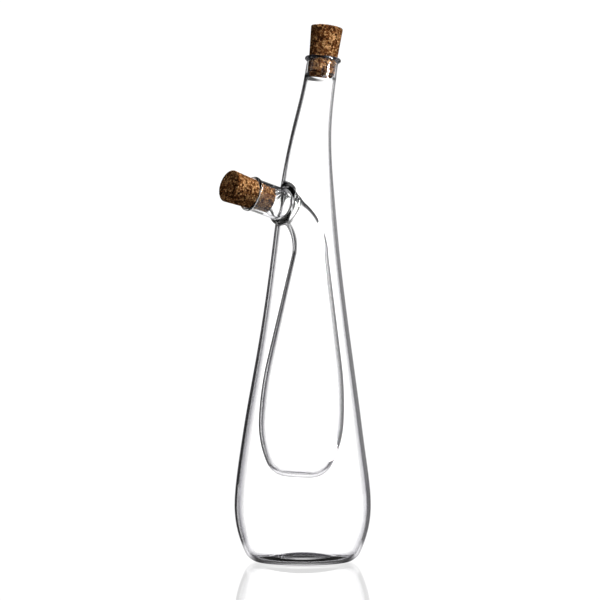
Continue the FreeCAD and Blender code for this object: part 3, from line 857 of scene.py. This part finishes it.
# The studio, as seen from the object with its back to the camera: dark flags stand to
# the left, a grey one to the right, and the ceiling is dark. Angles are in degrees, to
# the right or up. A flag begins softly between its first two angles and ends between its
# last two. The gap between the left ones is the white that a view along +Y sees.
LEFT_FLAG = (-9.0, -22.0, -31.0, -35.0)
FAR_LEFT_FLAG = (-40.0, -43.0, -72.0, -80.0)
RIGHT_FLAG = (12.0, 22.0, 38.0, 46.0)
RIGHT_FLAG_HEIGHT = (14.0, 8.0)  # up or down: none of it past 14, all of it within 8
CEILING = (5.0, 10.0)  # its soft edge, straight on and to the left
CEILING_SLOPE = 0.15  # how fast that edge rises to the right, as far as CEILING_REACH
CEILING_REACH = 40.0
MIRRORED_RIGHT = (8.0, -2.0)  # from here to the left the glass mirrors less

# How dark each is, and how strong the white is
LEFT_DARK = 0.98
CEILING_DARK = 0.94
RIGHT_DARK = 0.8
WINDOW_STRENGTH = 1.35  # of the white behind the glass
SEEN_STRENGTH = 1.05  # of the white that the camera sees directly or in the floor
GLOSS_STRENGTH = 0.5  # of the white that the glass mirrors on the right
GLOSS_DARK = 0.9  # how much less the glass mirrors on the left
FILL_STRENGTH = 0.07  # of the white that falls on the corks

RIGHTWARD = (math.cos(math.radians(AZIMUTH)), math.sin(math.radians(AZIMUTH)), 0.0)
FORWARD = (-math.sin(math.radians(AZIMUTH)), math.cos(math.radians(AZIMUTH)), 0.0)


def turn_from_forward(graph, vector, aside=0.0):
    """Degrees by which a direction, or a place seen from aside, is right of straight on."""
    rightward = graph.math("SUBTRACT", graph.dot(vector, RIGHTWARD), aside)
    return graph.math("DEGREES", graph.math("ARCTAN2", rightward, graph.dot(vector, FORWARD)))


def flag(graph, value, *flags):
    """1 where a value lies in one of the flags and 0 past their soft edges."""
    covered = 0.0
    for edges in flags:
        near = graph.step(value, edges[0], edges[1])
        far = graph.step(value, edges[3], edges[2])
        covered = graph.math("MAXIMUM", graph.math("MULTIPLY", near, far), covered)
    return covered


def behind_glass(graph, *darks):
    """Strength of the white behind the glass, less the share of each dark flag, ceiling and painted
    shadow before it.
    """
    level = WINDOW_STRENGTH
    for amount, share in darks:
        level = graph.math("MULTIPLY", graph.math("MULTIPLY_ADD", amount, -share, 1.0), level)
    return level


def make_world():
    """White studio surround with its flags and ceiling."""
    world = bpy.data.worlds.new("studio")
    bpy.context.scene.world = world
    world.use_nodes = True
    graph = Graph(world.node_tree)
    direction = graph.new("ShaderNodeTexCoord").outputs["Generated"]
    turn = turn_from_forward(graph, direction)
    rise = graph.math("DEGREES", graph.math("ARCSINE", graph.dot(direction, (0.0, 0.0, 1.0))))

    left = flag(graph, turn, LEFT_FLAG, FAR_LEFT_FLAG)
    level_enough = graph.step(graph.math("ABSOLUTE", rise), *RIGHT_FLAG_HEIGHT)
    right = graph.math("MULTIPLY", flag(graph, turn, RIGHT_FLAG), level_enough)
    across = graph.math("MINIMUM", graph.math("MAXIMUM", turn, 0.0), CEILING_REACH)
    over = graph.math("MULTIPLY_ADD", across, -CEILING_SLOPE, rise)
    ceiling = graph.step(over, *CEILING)
    level = behind_glass(graph, (left, LEFT_DARK), (right, RIGHT_DARK), (ceiling, CEILING_DARK))

    leftward = graph.step(turn, *MIRRORED_RIGHT)
    gloss = graph.math("MULTIPLY_ADD", leftward, -GLOSS_DARK * GLOSS_STRENGTH, GLOSS_STRENGTH)
    path = graph.new("ShaderNodeLightPath").outputs
    mirrored = path["Is Reflection Ray"]
    level = graph.choose(mirrored, level, SEEN_STRENGTH)
    level = graph.choose(graph.math("MULTIPLY", mirrored, path["Is Singular Ray"]), level, gloss)
    level = graph.choose(path["Is Camera Ray"], level, SEEN_STRENGTH)
    level = graph.choose(path["Is Diffuse Ray"], level, FILL_STRENGTH)
    white = graph.new("ShaderNodeBackground", {"Color": (1.0, 1.0, 1.0, 1.0), "Strength": level})
    graph.new("ShaderNodeOutputWorld", {"Surface": white.outputs["Background"]})


# The floor as it is seen through the glass, by distance from the middle of the foot in
# metres: a painted shadow as a dark ring close round the foot, and painted dark flags further out
FOOT_SHADE = (0.0235, 0.0265, 0.034, 0.046)
FOOT_DARK = 0.94
FOOT_SHADE_END = (0.004, -0.012)  # straight back from the axis: the ring's soft end
FLAG_FLOOR = (0.045, 0.07)  # where the flags begin
MIRROR_FACING = (0.6, 0.9)  # how edge on the floor is seen where it starts to mirror
MIRROR_SHARE = 0.32  # and how much it then mirrors
FLOOR_SIZE = 6.0
FLOOR_DROP = 0.0001  # keeps the floor clear of the foot


def floor_material():
    """White to the camera with a faint mirror image, and dull grey to the corks; through the glass
    it shows a painted shadow round the foot and painted dark flags.
    """
    material, graph = new_material("floor_look")
    place = graph.new("ShaderNodeNewGeometry").outputs["Position"]
    distance = graph.new("ShaderNodeVectorMath", {0: place}, operation="LENGTH").outputs["Value"]
    # painted shade: dark flags on the floor, seen only through the glass
    beyond = graph.step(distance, *FLAG_FLOOR)
    left_turn = turn_from_forward(graph, place, -BELLY_RADIUS * MM)
    left = graph.math("MULTIPLY", flag(graph, left_turn, LEFT_FLAG, FAR_LEFT_FLAG), beyond)
    right_turn = turn_from_forward(graph, place, BELLY_RADIUS * MM)
    right = graph.math("MULTIPLY", flag(graph, right_turn, RIGHT_FLAG), beyond)
    # painted shadow: a dark ring on the floor round the foot, seen only through the glass
    near = graph.step(graph.dot(place, FORWARD), *FOOT_SHADE_END)
    foot = graph.math("MULTIPLY", flag(graph, distance, FOOT_SHADE), near)
    level = behind_glass(graph, (left, LEFT_DARK), (right, RIGHT_DARK), (foot, FOOT_DARK))

    path = graph.new("ShaderNodeLightPath").outputs
    level = graph.choose(path["Is Camera Ray"], level, SEEN_STRENGTH)
    white = graph.new("ShaderNodeEmission", {"Strength": level}).outputs["Emission"]
    mirror_look = {"Color": (1.0, 1.0, 1.0, 1.0), "Roughness": 0.02}
    mirror = graph.new("ShaderNodeBsdfGlossy", mirror_look).outputs["BSDF"]
    facing = graph.new("ShaderNodeLayerWeight", {"Blend": 0.5}).outputs["Facing"]
    share = graph.math("MULTIPLY", graph.step(facing, *MIRROR_FACING), MIRROR_SHARE)
    share = graph.math("MULTIPLY", share, path["Is Camera Ray"])
    dull = graph.new("ShaderNodeBsdfDiffuse", {"Color": (0.25, 0.25, 0.25, 1.0)}).outputs["BSDF"]
    shader = graph.blend(path["Is Diffuse Ray"], graph.blend(share, white, mirror), dull)
    graph.new("ShaderNodeOutputMaterial", {"Surface": shader})
    return material


def make_floor():
    """A wide table top."""
    bpy.ops.mesh.primitive_circle_add(vertices=128, radius=FLOOR_SIZE, fill_type="NGON")
    floor = bpy.context.object
    floor.name = "floor"
    floor.location.z = -FLOOR_DROP
    floor.data.materials.append(floor_material())


def add_light(name, place, target, width, height, power):
    """A soft box that faces a point."""
    data = bpy.data.lights.new(name, "AREA")
    data.shape = "RECTANGLE"
    data.size = width
    data.size_y = height
    data.energy = power
    light = bpy.data.objects.new(name, data)
    light.location = place
    direction = Vector(target) - Vector(place)
    light.rotation_euler = direction.to_track_quat("-Z", "Y").to_euler()
    bpy.context.collection.objects.link(light)
    return light


def beside_camera(right, up, back):
    """A point to the right of the object as the camera sees it, up, and towards the camera."""
    return Vector(RIGHTWARD) * right - Vector(FORWARD) * back + Vector((0.0, 0.0, up))


def make_camera():
    """The photograph's camera, level and with the foot's axis where the picture has it."""
    data = bpy.data.cameras.new("camera")
    data.lens = LENS
    data.sensor_width = SENSOR
    data.shift_x = -(AXIS_PIXEL - PICTURE / 2) / PICTURE
    camera = bpy.data.objects.new("camera", data)
    camera.location = (-DISTANCE * FORWARD[0], -DISTANCE * FORWARD[1], EYE_HEIGHT)
    camera.rotation_euler = (math.pi / 2, 0.0, math.radians(AZIMUTH))
    bpy.context.collection.objects.link(camera)
    bpy.context.scene.camera = camera


make_camera()

glass_piece = make_glass()
glass_piece.data.materials.append(clear_glass())
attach(glass_piece, "glass")
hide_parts("outer_bottle", "inner_bottle", "side_spout")

cork_look = cork_material()
for node, tip, tilt, seed in (
    ("top_cork", MOUTH + TOP_TIP * TOP_AXIS, TOP_CORK_TILT, 1.0),
    ("side_cork", WALL_POINT + (SPOUT_LENGTH + SIDE_TIP) * OUT, SPOUT_RISE - 90.0, 2.0),
):
    cork = make_cork(node + "_granules", tip, tilt)
    pit(cork, seed)
    cork.data.materials.append(cork_look)
    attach(cork, node)
    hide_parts(node)

make_world()
make_floor()
add_light("key", beside_camera(0.5, 1.1, 0.4), (0.0, 0.0, 0.15), width=0.5, height=0.5, power=17.0)

# The strip shows only mirrored, as the bright line on the neck beside its cork
strip_place = beside_camera(0.66, 0.46, 0.42)
strip = add_light("strip", strip_place, (0.014, 0.0, 0.28), width=0.26, height=0.5, power=110.0)
strip.visible_diffuse = False
strip.visible_transmission = False

scene = bpy.context.scene
scene.view_settings.view_transform = "Standard"
scene.cycles.max_bounces = 32
scene.cycles.transmission_bounces = 32
scene.cycles.transparent_max_bounces = 16
